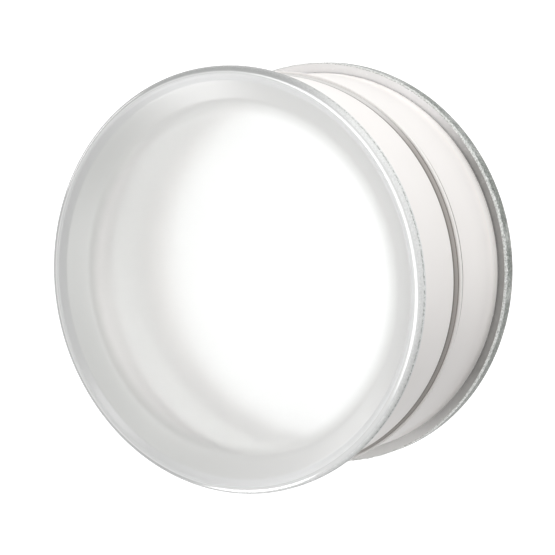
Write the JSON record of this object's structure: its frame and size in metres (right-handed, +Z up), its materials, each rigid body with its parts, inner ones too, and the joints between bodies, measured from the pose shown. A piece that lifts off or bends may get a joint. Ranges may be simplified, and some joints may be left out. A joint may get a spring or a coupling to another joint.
{
  "type": "covered crystallizing dish",
  "caption": "Round flat-bottomed dish with a round cover of the same bore, joined rim to rim on a seal ring, with frosted end plates that stand out as flanges.",
  "frame": {"origin": "centre of the base plate's underside, on the surface the dish stands on", "axes": "+Z up along the dish's axis, from the base plate to the cover plate"},
  "size_m": [0.19, 0.19, 0.095],
  "materials": {
    "frosted_glass": "satin etched",
    "opal_glass": "satin",
    "bond": "matte",
    "collar_plastic": "matte",
    "seal_rubber": "matte"
  },
  "bodies": {
    "dish": {"base_plate": "frosted_glass", "base_bond": "bond", "dish_wall": "opal_glass", "locating_collar": "collar_plastic"},
    "seal": {"seal_ring": "seal_rubber"},
    "cover": {"cover_wall": "opal_glass", "cover_bond": "bond", "cover_plate": "frosted_glass"}
  },
  "joints": [
    {"name": "cover_turn", "type": "hinge", "parent": "dish", "child": "seal", "pos_m": [0, 0, 0.0483], "axis": [0, 0, 1], "continuous": true},
    {"name": "cover_lift", "type": "slide", "parent": "seal", "child": "cover", "axis": [0, 0, 1], "range_m": [0, 0.08]}
  ]
}
